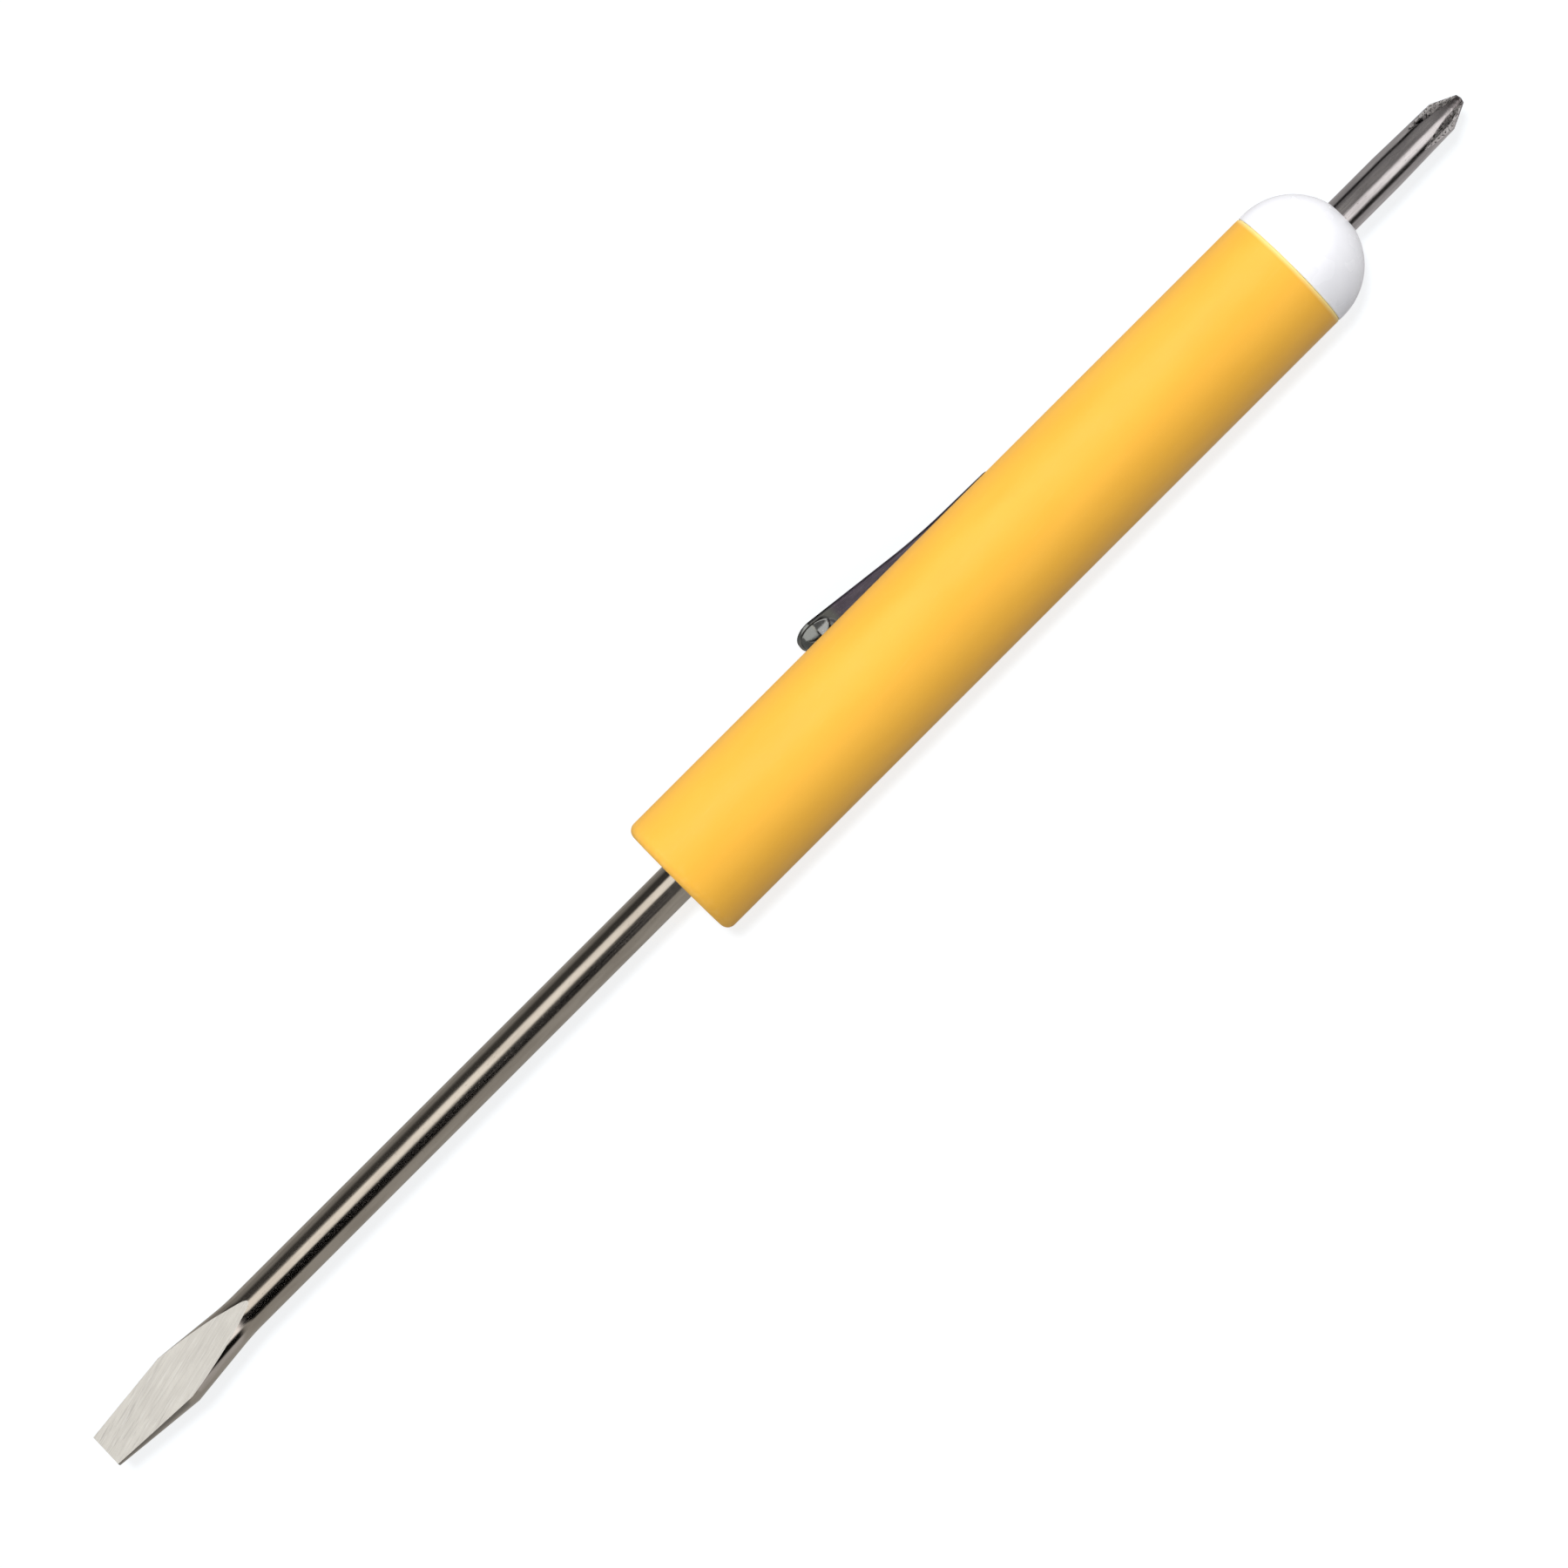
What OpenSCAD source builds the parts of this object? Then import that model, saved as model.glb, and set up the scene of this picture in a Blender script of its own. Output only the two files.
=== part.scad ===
// Pocket screwdriver with a flat blade at one end and a small cross bit at the other.
// All lengths are in millimetres.
// The tool lies along X, from the middle of the flat blade's end face at the origin. Z is up.

/* [Flat blade] */
// Diameter of the round shank
shank_d = 3.175; // [2.8:0.025:3.6]
// Length of the blade outside the barrel
blade_reach = 61; // [45:0.5:80]
// Diameter of the blade where it is widest
flare_d = 4.48; // [4.2:0.02:5.2]
// Distance from the blade's end to the widest place
flare_at = 7.7; // [5:0.1:9]
// Length of the cone from the widest place back to the shank
flare_run = 6.4; // [5:0.1:9]
// Radius of the blend between that cone and the shank
flare_blend_r = 20; // [8:1:30]
// Diameter that the blade's sides taper down to at its end
tip_d = 2.96; // [2.4:0.02:3.4]
// Thickness of the blade at its end
tip_t = 0.6; // [0.4:0.05:1]
// Length of the two ground flats
grind_len = 15.7; // [12:0.1:20]
// Turn of the flats about the tool's axis, in degrees
blade_turn = 18; // [0:1:90]

/* [Blade root] */
// Reach of each flattened wing past the shank
root_wing_reach = 0.55; // [0.3:0.05:1]
// Thickness of the flattened wings
root_wing_t = 1.1; // [0.8:0.05:1.6]
// Length of the flattened wings
root_wing_len = 5; // [3.5:0.1:7]
// Distance from the shank's inner end to the wings
root_wing_inset = 3; // [2:0.1:5]

/* [Barrel] */
// Outer diameter of the barrel
barrel_d = 10.8; // [10:0.1:13]
// Length of the barrel
barrel_len = 65.4; // [56:0.2:90]
// Radius of the rounded edge at the blade end
nose_round = 0.9; // [0.4:0.05:1.5]
// Small bevel on the rim at the cap end
rim_bevel = 0.12; // [0.05:0.01:0.3]
// Wall of the barrel round its hollow middle
core_wall = 2.2; // [1.6:0.1:2.6]
// Wall of the barrel round the cap's plug
plug_wall = 1.7; // [1.3:0.05:2]
// Depth of the hollow past the clip's tang, towards the blade
core_depth = 8; // [5:0.1:12]
// Solid web between the hollow and the blade's inner end
web_t = 2.8; // [1.5:0.1:5]

/* [End cap] */
// Straight land between the barrel's rim and the dome
cap_land = 0.45; // [0.2:0.05:1.5]
// Length of the plug inside the barrel
plug_len = 13; // [10:0.1:16]
// Number of keys on the plug
key_count = 3; // [2:1:6]
// Width of each key
key_w = 1.2; // [0.8:0.05:1.8]
// Height of each key above the plug
key_h = 0.5; // [0.3:0.05:0.8]

/* [Cross bit] */
// Diameter of the bit where it leaves the dome
bit_d = 2.95; // [2.6:0.05:3.4]
// Length of the bit outside the dome
bit_reach = 12.55; // [10:0.05:20]
// Straight length of the bit outside the dome
bit_straight = 4.5; // [3:0.1:6]
// Diameter at the outer corners of the cross's wings
bit_neck_d = 2.66; // [2.3:0.02:2.9]
// Length of the pointed end
point_len = 2.05; // [1.5:0.05:2.6]
// Diameter of the blunt end
point_tip_d = 0.82; // [0.6:0.02:1]
// Height of the shallow cone on the blunt end
point_crown = 0.12; // [0.05:0.01:0.2]
// Length of the flutes between the wings
flute_len = 4.7; // [3.5:0.1:6]
// Distance from the bit's axis to the bottom of a flute at the blunt end
flute_core = 0.42; // [0.3:0.02:0.55]
// Angle between the two sides of a flute, in degrees
flute_angle = 92; // [86:1:100]
// Turn of the cross about the tool's axis, in degrees
bit_turn = 7; // [0:1:90]
// Depth of the bit inside the cap, from the top of the dome
bit_root = 15; // [11:0.1:17]
// Reach of each flattened wing of the bit's root past the bit
bit_wing_reach = 0.45; // [0.3:0.05:0.7]
// Thickness of the wings of the bit's root
bit_wing_t = 1; // [0.7:0.05:1.4]
// Length of the wings of the bit's root
bit_wing_len = 4; // [3:0.1:5]
// Distance from the bit's inner end to those wings
bit_wing_inset = 2; // [1.5:0.1:3]

/* [Pocket clip] */
// Distance from the barrel's rim down to the clip's tang
clip_drop = 26.6; // [22:0.1:29]
// Length of the clip from its tang to its free end
clip_len = 19.7; // [17:0.1:24]
// Width of the strip at the tang
clip_root_w = 2.4; // [2:0.05:3]
// Width of the strip round the ball
clip_end_w = 3.6; // [3.5:0.05:4.4]
// Thickness of the strip
clip_t = 0.3; // [0.25:0.01:0.4]
// Length of the strip that lies along the barrel
clip_flat = 4.8; // [3:0.1:6]
// Radius of the bend that lifts the strip off the barrel
clip_bend_r = 44; // [30:1:60]
// Lift of the strip's free length, in degrees
clip_lift = 7; // [6.4:0.1:9]
// Diameter of the pressed ball
ball_d = 3.3; // [3:0.05:3.4]
// Inner radius of the two bends at the tang
tang_bend_r = 0.3; // [0.2:0.01:0.5]
// Length of the tang's foot inside the barrel
foot_len = 5; // [3:0.1:7]
// Swing of the clip as it is pulled open, in degrees
clip_swing = 6; // [3:0.5:8]
// Turn of the clip about the tool's axis, from straight up, in degrees
clip_turn = 123; // [0:1:180]

/* [Clearances] */
// Gap round a steel root moulded into plastic
seat_gap = 0.02; // [0.01:0.005:0.05]
// Gap round the cap's plug and keys
plug_gap = 0.03; // [0.01:0.005:0.08]
// Gap between the end of the plug's keys and the end of their grooves
key_end_gap = 0.4; // [0.2:0.05:1]
// Gap between the clip's tang and its slot
slot_gap = 0.12; // [0.08:0.01:0.2]
// Gap under the flat of the clip
clip_gap = 0.06; // [0.03:0.01:0.15]
// Gap between the ball and the barrel
ball_gap = 0.1; // [0.05:0.01:0.3]

/* [Hidden] */
$fn = 128;
blend_steps = 12;
overrun = 1;

shank_r = shank_d / 2;
barrel_r = barrel_d / 2;
core_r = barrel_r - core_wall;
plug_bore_r = barrel_r - plug_wall;
plug_r = plug_bore_r - plug_gap;

rim_z = blade_reach + barrel_len;
dome_z = rim_z + cap_land;
apex_z = dome_z + barrel_r;
bit_end_z = apex_z + bit_reach;
tang_z = rim_z - clip_drop;
core_z = tang_z - core_depth;
shank_end_z = core_z - web_t;
bit_inner_z = apex_z - bit_root;
plug_end_z = rim_z - plug_len;

flare_slope = atan((flare_d - shank_d) / 2 / flare_run);
flare_end_z = flare_at + flare_run;
grind_slope = (shank_r - tip_t / 2) / grind_len;

bit_r = bit_d / 2;
flute_depth = bit_neck_d / 2 - flute_core;
flute_r = (flute_len * flute_len + flute_depth * flute_depth) / (2 * flute_depth);
wing_count = 4;
wing_step = 360 / wing_count;

clip_in_r = barrel_r + clip_gap;
clip_out_r = clip_in_r + clip_t;
bend_r = clip_in_r - tang_bend_r;
bend_z = tang_z - clip_t - tang_bend_r;
flat_z = tang_z - clip_flat;
lift_r = clip_out_r + clip_bend_r;
arm_len = clip_len / cos(clip_lift);
foot_out_r = sqrt(core_r * core_r - clip_root_w * clip_root_w / 4) - slot_gap;
foot_bend_z = tang_z + tang_bend_r;
foot_bend_r = foot_out_r + tang_bend_r;
ball_z = tang_z - clip_len + clip_end_w / 2;
ball_r = ball_d / 2;
ball_centre_r = barrel_r + ball_gap + ball_r;
slot_low_z = tang_z - clip_t - slot_gap - (bend_r - foot_out_r) * sin(clip_swing);
slot_high_z = tang_z + slot_gap;

// Stands a piece that is drawn upright, Z along the tool, on the tool's own axis.
// The drawing's X becomes the tool's side and its Y becomes up.
module along_tool() {
    rotate([90, 0, 90]) children();
}

// Extrudes an outline drawn as [radius, height] to both sides of its own plane
module side_plate(width) {
    rotate([90, 0, 0]) linear_extrude(width, center = true) children();
}

// Extrudes an outline drawn as [width, height] outwards from the axis
module front_plate(depth) {
    rotate([90, 0, 90]) linear_extrude(depth) children();
}

// Pair of flattened wings across a round root, with sloping ends
module root_wings(root_r, reach, thick, low_z, high_z, grow) {
    out_r = root_r + reach + grow;
    side_plate(thick + 2 * grow)
        polygon([
            [0, low_z - grow],
            [out_r, low_z + reach],
            [out_r, high_z - reach],
            [0, high_z + grow],
            [-out_r, high_z - reach],
            [-out_r, low_z + reach]
        ]);
}

// Part of the blade inside the barrel, or the cavity that it sits in
module blade_root(grow) {
    wings_high_z = shank_end_z - root_wing_inset;
    translate([0, 0, blade_reach - overrun])
        cylinder(r = shank_r + grow, h = shank_end_z + grow - blade_reach + overrun);
    rotate([0, 0, -blade_turn])
        root_wings(shank_r, root_wing_reach, root_wing_t, wings_high_z - root_wing_len, wings_high_z, grow);
}

// Turned form of the blade before its flats are ground
module blade_blank() {
    blend_centre_r = shank_r + flare_blend_r;
    blend_z = flare_end_z + flare_blend_r * tan(flare_slope / 2);
    rotate_extrude()
        polygon(concat(
            [[0, 0], [tip_d / 2, 0], [flare_d / 2, flare_at]],
            [for (i = [0 : blend_steps])
                let (a = flare_slope * (1 - i / blend_steps))
                [blend_centre_r - flare_blend_r * cos(a), blend_z - flare_blend_r * sin(a)]],
            [[shank_r, shank_end_z], [0, shank_end_z]]
        ));
}

// What the grinding takes off one side of the blade
module grinding() {
    rotate([90, 0, 90])
        linear_extrude(flare_d + 2 * overrun, center = true)
            polygon([
                [tip_t / 2 - grind_slope * overrun, -overrun],
                [shank_r, grind_len],
                [flare_d, grind_len],
                [flare_d, -overrun]
            ]);
}

module flat_blade() {
    color("#b9b6ae") along_tool() {
        rotate([0, 0, -blade_turn]) difference() {
            blade_blank();
            for (side = [0, 1]) mirror([0, side, 0]) grinding();
        }
        blade_root(0);
    }
}

// Outline of half the barrel, with its rounded blade end and bevelled rim
module barrel_outline() {
    difference() {
        translate([0, blade_reach]) square([barrel_r, barrel_len]);
        translate([barrel_r - nose_round, blade_reach]) difference() {
            translate([0, -overrun]) square([nose_round + overrun, nose_round + overrun]);
            translate([0, nose_round]) circle(nose_round);
        }
        polygon([
            [barrel_r - rim_bevel, rim_z],
            [barrel_r, rim_z - rim_bevel],
            [barrel_r + overrun, rim_z - rim_bevel],
            [barrel_r + overrun, rim_z + overrun],
            [barrel_r - rim_bevel, rim_z + overrun]
        ]);
    }
}

// Keys round the plug, or the grooves that they slide into
module plug_keys(grow, end_grow) {
    for (i = [0 : key_count - 1])
        rotate([0, 0, 360 * i / key_count])
            translate([0, -key_w / 2 - grow, plug_end_z - end_grow])
                cube([plug_r + key_h + grow, key_w + 2 * grow, plug_len + end_grow]);
}

// Slot in the barrel's wall that the clip's tang goes through
module clip_slot() {
    slot_w = clip_root_w + 2 * slot_gap;
    rotate([0, 0, 90 - clip_turn])
        translate([0, -slot_w / 2, slot_low_z])
            cube([barrel_r + overrun, slot_w, slot_high_z - slot_low_z]);
}

module handle_barrel() {
    color("#f5bf4f") along_tool() difference() {
        rotate_extrude() barrel_outline();
        blade_root(seat_gap);
        translate([0, 0, core_z]) cylinder(r = core_r, h = rim_z - core_z + overrun);
        translate([0, 0, plug_end_z - key_end_gap]) cylinder(r = plug_bore_r, h = plug_len + key_end_gap + overrun);
        plug_keys(plug_gap, key_end_gap);
        clip_slot();
    }
}

// Part of the bit inside the cap, or the cavity that it sits in
module bit_anchor(grow) {
    translate([0, 0, bit_inner_z - grow])
        cylinder(r = bit_r + grow, h = apex_z + bit_straight - bit_inner_z + grow);
    wings_low_z = bit_inner_z + bit_wing_inset;
    root_wings(bit_r, bit_wing_reach, bit_wing_t, wings_low_z, wings_low_z + bit_wing_len, grow);
}

module end_cap() {
    color("#f4f4f6") along_tool() difference() {
        union() {
            rotate_extrude() {
                translate([0, dome_z]) intersection() {
                    circle(barrel_r);
                    square(barrel_r);
                }
                translate([0, rim_z]) square([barrel_r, cap_land]);
                translate([0, plug_end_z]) square([plug_r, plug_len]);
            }
            plug_keys(0, 0);
        }
        bit_anchor(seat_gap);
    }
}

// Turned form of the bit before its flutes are cut
module bit_blank() {
    rotate_extrude()
        polygon([
            [0, bit_inner_z],
            [bit_r, bit_inner_z],
            [bit_r, apex_z + bit_straight],
            [bit_neck_d / 2, bit_end_z - point_len],
            [point_tip_d / 2, bit_end_z - point_crown],
            [0, bit_end_z]
        ]);
}

// Rim of the form cutter that sinks one flute, on the cutter's own place beside the bit
module flute_cutter() {
    rim_t = bit_d * tan(flute_angle / 2);
    translate([flute_core + flute_r, 0, bit_end_z])
        rotate([90, 0, 0])
            rotate_extrude()
                polygon([
                    [flute_r, 0],
                    [flute_r - bit_d, rim_t],
                    [flute_r - bit_d, -rim_t]
                ]);
}

module cross_bit() {
    color("#a9a5a3") along_tool() {
        difference() {
            bit_blank();
            for (i = [0 : wing_count - 1])
                rotate([0, 0, wing_step * (i + 1 / 2) - bit_turn]) flute_cutter();
        }
        bit_anchor(0);
    }
}

// Quarter of a ring, the shape of a right-angled bend in the strip
module bend_quarter(side) {
    intersection() {
        difference() {
            circle(tang_bend_r + clip_t);
            circle(tang_bend_r);
        }
        scale(side) square(tang_bend_r + clip_t);
    }
}

// Moves to the place where the strip's straight free length starts, turned to run along it
module on_arm() {
    translate([lift_r, flat_z])
        rotate(clip_lift)
            translate([-clip_bend_r, 0]) children();
}

// Point on the bend that lifts the strip, at a given radius and angle round the bend's centre
function lift_point(r, a) = [lift_r - r * cos(a), flat_z - r * sin(a)];

// Free end of the strip's face that leaves the bend at a given radius
function arm_end(r) = lift_point(r, clip_lift) + arm_len * [sin(clip_lift), -cos(clip_lift)];

// Side view of the strip, from the foot inside the barrel to the free end
module clip_outline() {
    translate([foot_out_r - clip_t, foot_bend_z])
        square([clip_t, tang_z + foot_len - foot_bend_z]);
    translate([foot_bend_r, foot_bend_z])
        bend_quarter([-1, -1]);
    translate([foot_bend_r, tang_z - clip_t])
        square([bend_r - foot_bend_r, clip_t]);
    translate([bend_r, bend_z])
        bend_quarter([1, 1]);
    polygon(concat(
        [[clip_out_r, bend_z]],
        [for (i = [0 : blend_steps]) lift_point(clip_bend_r, clip_lift * i / blend_steps)],
        [arm_end(clip_bend_r), arm_end(clip_bend_r + clip_t)],
        [for (i = [0 : blend_steps])
            lift_point(clip_bend_r + clip_t, clip_lift * (1 - i / blend_steps))],
        [[clip_in_r, bend_z]]
    ));
}

// Front view of the strip, which widens towards its round free end
module clip_plan() {
    polygon([
        [-clip_root_w / 2, tang_z],
        [-clip_end_w / 2, ball_z],
        [clip_end_w / 2, ball_z],
        [clip_root_w / 2, tang_z]
    ]);
    translate([0, ball_z]) circle(clip_end_w / 2);
    translate([-clip_root_w / 2, tang_z]) square([clip_root_w, foot_len]);
}

// Inner half of the space beside the strip's free length, up to the middle of the strip
module inside_arm() {
    side_plate(2 * clip_end_w)
        on_arm() translate([-clip_t / 2 - ball_d, -arm_len]) square([ball_d, arm_len]);
}

module pocket_clip() {
    color("#8d8b90") along_tool() rotate([0, 0, 90 - clip_turn]) difference() {
        union() {
            intersection() {
                side_plate(clip_end_w + overrun) clip_outline();
                front_plate(lift_r) clip_plan();
            }
            intersection() {
                translate([ball_centre_r, 0, ball_z]) sphere(ball_r);
                inside_arm();
            }
        }
        translate([ball_centre_r, 0, ball_z]) sphere(ball_r - clip_t);
    }
}

handle_barrel();
flat_blade();
end_cap();
cross_bit();
pocket_clip();
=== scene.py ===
"""Looks for a pocket screwdriver: a round yellow barrel with a flat blade, a white end cap with a small
cross bit, and a sprung pocket clip. Each piece is drawn in millimetres along X and then brought to metres."""

import math

import bmesh
import bpy
from mathutils import Euler, Matrix, Vector


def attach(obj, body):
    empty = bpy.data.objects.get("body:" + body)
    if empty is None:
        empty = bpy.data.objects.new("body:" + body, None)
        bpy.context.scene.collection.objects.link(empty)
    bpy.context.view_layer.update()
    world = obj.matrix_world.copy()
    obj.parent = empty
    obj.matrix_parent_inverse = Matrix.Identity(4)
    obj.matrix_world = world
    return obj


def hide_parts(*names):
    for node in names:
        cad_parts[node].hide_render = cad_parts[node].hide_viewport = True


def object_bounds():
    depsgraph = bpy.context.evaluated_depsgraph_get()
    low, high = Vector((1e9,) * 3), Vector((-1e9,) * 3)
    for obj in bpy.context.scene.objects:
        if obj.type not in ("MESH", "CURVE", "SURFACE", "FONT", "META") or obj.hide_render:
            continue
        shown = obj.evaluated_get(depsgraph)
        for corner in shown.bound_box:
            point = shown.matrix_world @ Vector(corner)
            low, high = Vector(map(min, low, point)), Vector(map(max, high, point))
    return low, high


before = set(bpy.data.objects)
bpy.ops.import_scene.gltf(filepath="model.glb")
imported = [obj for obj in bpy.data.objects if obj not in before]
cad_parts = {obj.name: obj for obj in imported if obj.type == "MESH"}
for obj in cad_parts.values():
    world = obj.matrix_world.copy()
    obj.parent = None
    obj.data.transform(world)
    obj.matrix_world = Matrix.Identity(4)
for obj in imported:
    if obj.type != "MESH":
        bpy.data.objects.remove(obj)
cad_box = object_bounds()

MM = 0.001
ROUND_STEPS = 256
# Points closer together than this become one
WELD = 0.00001
# Edges that turn by more than this stay sharp
CREASE = math.radians(30)

# Flat blade, in millimetres
SHANK_R = 1.5875
BLADE_REACH = 61.0
FLARE_R = 2.24
FLARE_AT = 7.7
FLARE_RUN = 6.4
FLARE_BLEND_R = 20.0
TIP_R = 1.48
TIP_T = 0.6
GRIND_LEN = 15.7
BLADE_TURN = math.radians(18)
SHANK_END = 89.0
SHANK_END_BEVEL = 0.2
SCRATCH_TURN = math.radians(13)
# Rings along the tip, the flare, its blend and the shank, and how far past the blend the shank's first one is
TIP_STEPS = 10
FLARE_STEPS = 8
BLEND_STEPS = 10
SHANK_STEPS = 12
SHANK_FIRST_RING = 1.0

# Barrel
BARREL_R = 5.4
BARREL_END = 126.4
NOSE_ROUND = 0.75
NOSE_STEPS = 14
RIM_BEVEL = 0.12
CORE_R = 3.2
CORE_START = 91.8
PLUG_BORE_R = 3.7
PLUG_BORE_START = 113.0
SEAT_GAP = 0.02
BORE_BEVEL = 0.06
# Places of the rings along the barrel's side, close together beside the slot
BARREL_RINGS = [64, 70, 78, 86, 93, 97, 98.4, 98.9, 100.2, 100.7, 102, 108, 116, 122, 125.6]

# End cap
CAP_LAND = 0.45
CAP_EDGE = 0.05
PLUG_R = 3.67
PLUG_START = 113.4
PLUG_BEVEL = 0.3
DOME_X = BARREL_END + CAP_LAND
DOME_STEPS = 48

# Cross bit
BIT_R = 1.475
BIT_START = 117.25
BIT_END = 144.8
BIT_STRAIGHT = 4.5
BIT_NECK_R = 1.33
BIT_WEAR = 2.9
POINT_LEN = 2.05
POINT_TIP_R = 0.41
POINT_CROWN = 0.12
TAPER = (DOME_X + BARREL_R + BIT_STRAIGHT, BIT_R)
NECK = (BIT_END - POINT_LEN, BIT_NECK_R)
CROWN = (BIT_END - POINT_CROWN, POINT_TIP_R)
TAPER_STEPS = 6
POINT_STEPS = 4
FLUTE_COUNT = 4
FLUTE_CORE = 0.42
FLUTE_R = 12.59
FLUTE_ANGLE = math.radians(92)
# Faces that lie deeper than this under the turned outline belong to a flute
FLUTE_DEPTH = 0.01
BIT_TURN = math.radians(7)

# Pocket clip
TANG_X = 99.8
CLIP_T = 0.3
CLIP_GAP = 0.06
CLIP_ROOT_W = 2.4
CLIP_END_W = 3.6
CLIP_LEN = 19.7
CLIP_FLAT = 4.8
CLIP_BEND_R = 44.0
CLIP_LIFT = math.radians(7)
CLIP_TURN = math.radians(123)
CLIP_EDGE = 0.05
CLIP_EDGE_TURN = math.radians(50)
TANG_BEND_R = 0.3
FOOT_LEN = 5.0
FOOT_R = 2.846
BALL_R = 1.65
BALL_GAP = 0.1
BALL_FILLET = 0.2
BALL_X = TANG_X - CLIP_LEN + CLIP_END_W / 2
# Steps along the foot, the tang, the bends, the lifting bend, the arm, the ball's near half and the round
# end, and across the strip
FOOT_STEPS = 8
TANG_STEPS = 6
BEND_STEPS = 8
LIFT_STEPS = 12
ARM_STEPS = 16
BALL_STEPS = 30
END_STEPS = 40
CLIP_COLUMNS = 64

# Slot for the clip's tang, which is cut from inside the hollow to outside the barrel
SLOT_LOW = 99.14
SLOT_HIGH = 99.92
SLOT_W = 2.64
SLOT_INNER_R = 1.6
SLOT_OUTER_R = 6.15

# Straight out from the tool's axis through the clip, and across the clip
CLIP_OUT = Vector((0, math.sin(CLIP_TURN), math.cos(CLIP_TURN)))
CLIP_ACROSS = Vector((0, -math.cos(CLIP_TURN), math.sin(CLIP_TURN)))

# Colours of the finishes
YELLOW = (0.9, 0.475, 0.052, 1)
YELLOW_DEEP = (0.87, 0.45, 0.045, 1)
# Light yellow of scuffs and rubbed wear, also used as a painted highlight on the edges of the barrel's ends
YELLOW_WEAR_AND_HIGHLIGHT = (0.93, 0.56, 0.13, 1)
# Painted highlight along the rim at the barrel's end
YELLOW_RIM_HIGHLIGHT = (0.97, 0.78, 0.3, 1)
CAP_WHITE = (0.9, 0.9, 0.935, 1)
CAP_GREY = (0.87, 0.872, 0.91, 1)
BLADE_BRIGHT = (0.66, 0.615, 0.56, 1)
BLADE_DULL = (0.56, 0.515, 0.465, 1)
BIT_BRIGHT = (0.62, 0.6, 0.595, 1)
BIT_DULL = (0.46, 0.44, 0.44, 1)
PLATING_SPECK = (0.1, 0.075, 0.06, 1)
PLATING_WORN = (0.12, 0.1, 0.1, 1)
GROUND_PALE = (0.84, 0.82, 0.775, 1)
GROUND_GREY = (0.78, 0.76, 0.72, 1)
GROUND_LINE = (0.64, 0.62, 0.585, 1)
GROUND_SCRATCH = (0.4, 0.385, 0.37, 1)
GROUND_GLINT = (0.95, 0.94, 0.92, 1)
FLUTE_PALE = (0.96, 0.95, 0.945, 1)
FLUTE_GREY = (0.78, 0.76, 0.755, 1)
FLUTE_PIT = (0.07, 0.06, 0.058, 1)
STRIP_LIGHT = (0.3, 0.255, 0.325, 1)
STRIP_DARK = (0.22, 0.185, 0.245, 1)
STRIP_SPECK = (0.75, 0.74, 0.73, 1)
BALL_GREY = (0.29, 0.3, 0.29, 1)
WHITE = (1, 1, 1, 1)
# Most values of a grain lie between these
GRAIN_SPAN = (0.3, 0.7)


def node(tree, kind, given=None, **settings):
    """Adds a node, with its settings, and gives its sockets a value or a link"""
    made = tree.nodes.new(kind)
    for name, value in settings.items():
        setattr(made, name, value)
    for name, value in (given or {}).items():
        socket = made.inputs[name]
        if isinstance(value, bpy.types.NodeSocket):
            tree.links.new(value, socket)
        else:
            socket.default_value = value
    return made


def sums(tree, operation, first, second=0.0):
    return node(tree, "ShaderNodeMath", {0: first, 1: second}, operation=operation).outputs[0]


# Forms


def new_tree(name, sockets, result):
    """Starts a geometry tree with its named inputs and its one output"""
    tree = bpy.data.node_groups.new(name, "GeometryNodeTree")
    for socket, kind in sockets.items():
        tree.interface.new_socket(socket, in_out="INPUT", socket_type="NodeSocket" + kind)
    tree.interface.new_socket(result, in_out="OUTPUT", socket_type="NodeSocketGeometry")
    return tree, tree.nodes.new("NodeGroupInput").outputs


def finish_tree(tree, form, finish, name):
    """Ends a tree: plain mesh, smooth faces and the piece's finish"""
    form = node(tree, "GeometryNodeRealizeInstances", {"Geometry": form}).outputs[0]
    form = node(tree, "GeometryNodeSetShadeSmooth", {"Geometry": form}).outputs[0]
    form = node(tree, "GeometryNodeSetMaterial", {"Geometry": form, "Material": finish}).outputs[0]
    tree.links.new(form, tree.nodes.new("NodeGroupOutput").inputs[name])


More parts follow.
